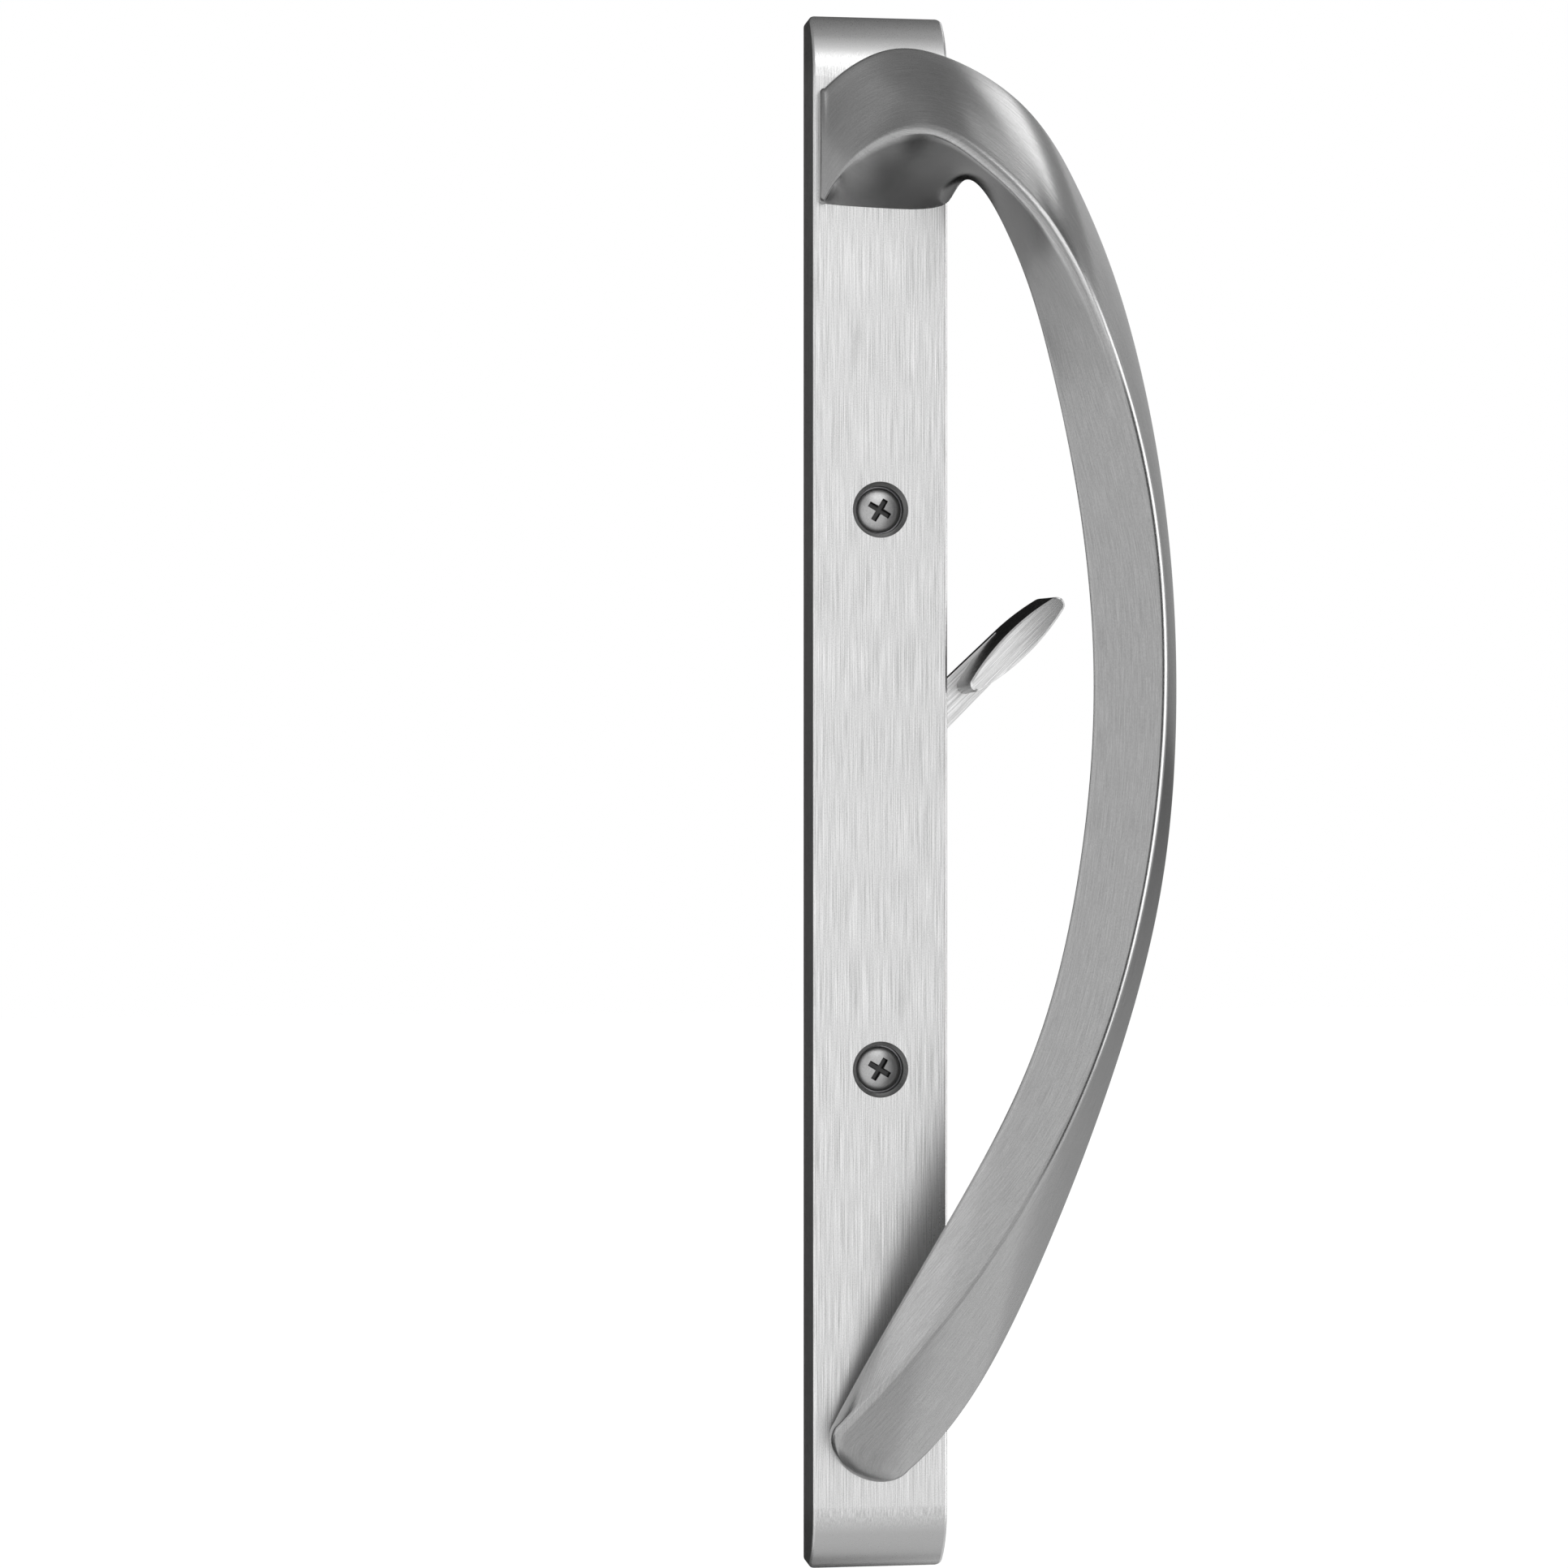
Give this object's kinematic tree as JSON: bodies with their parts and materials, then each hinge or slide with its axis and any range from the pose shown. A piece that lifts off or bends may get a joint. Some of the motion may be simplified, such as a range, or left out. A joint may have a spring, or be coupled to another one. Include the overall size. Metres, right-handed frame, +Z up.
{
  "type": "sliding door handle",
  "caption": "Inside handle for a sliding patio door: long brushed plate with a bowed, three-edged pull, cross-recess fixing screws and a thumb lever that turns a tailpiece for the latch.",
  "frame": {"origin": "midway between the two fixing screws, on the door's face", "axes": "+Z up along the plate, +X to the pull's side, +Y into the door; the handle faces -Y"},
  "size_m": [0.0598, 0.0885, 0.2791],
  "materials": {
    "brushed_plate": "brushed nickel on a zinc casting, brushed lengthwise",
    "satin_pull": "satin nickel on a zinc casting, brushed along the grip",
    "brushed_lever": "brushed nickel on a zinc casting, brushed along the lever",
    "plated_screw": "nickel-plated steel",
    "zinc_steel": "bright zinc-plated steel",
    "spring_steel": "oiled spring steel",
    "bush_nylon": "natural nylon"
  },
  "bodies": {
    "handle": {"escutcheon": "brushed_plate", "pull": "satin_pull", "mounting_screws": "plated_screw", "pull_screws": "zinc_steel", "pull_lock_washers": "spring_steel", "lever_bush": "bush_nylon", "friction_washer": "spring_steel", "retaining_strap": "zinc_steel", "strap_screws": "zinc_steel"},
    "latch": {"latch_lever": "brushed_lever", "tailpiece": "zinc_steel", "tailpiece_pin": "spring_steel"}
  },
  "joints": [
    {"name": "latch_turn", "type": "hinge", "parent": "handle", "child": "latch", "pos_m": [0, 0, 0.0026], "axis": [0, -1, 0], "range_deg": [-88.6, 0]}
  ]
}
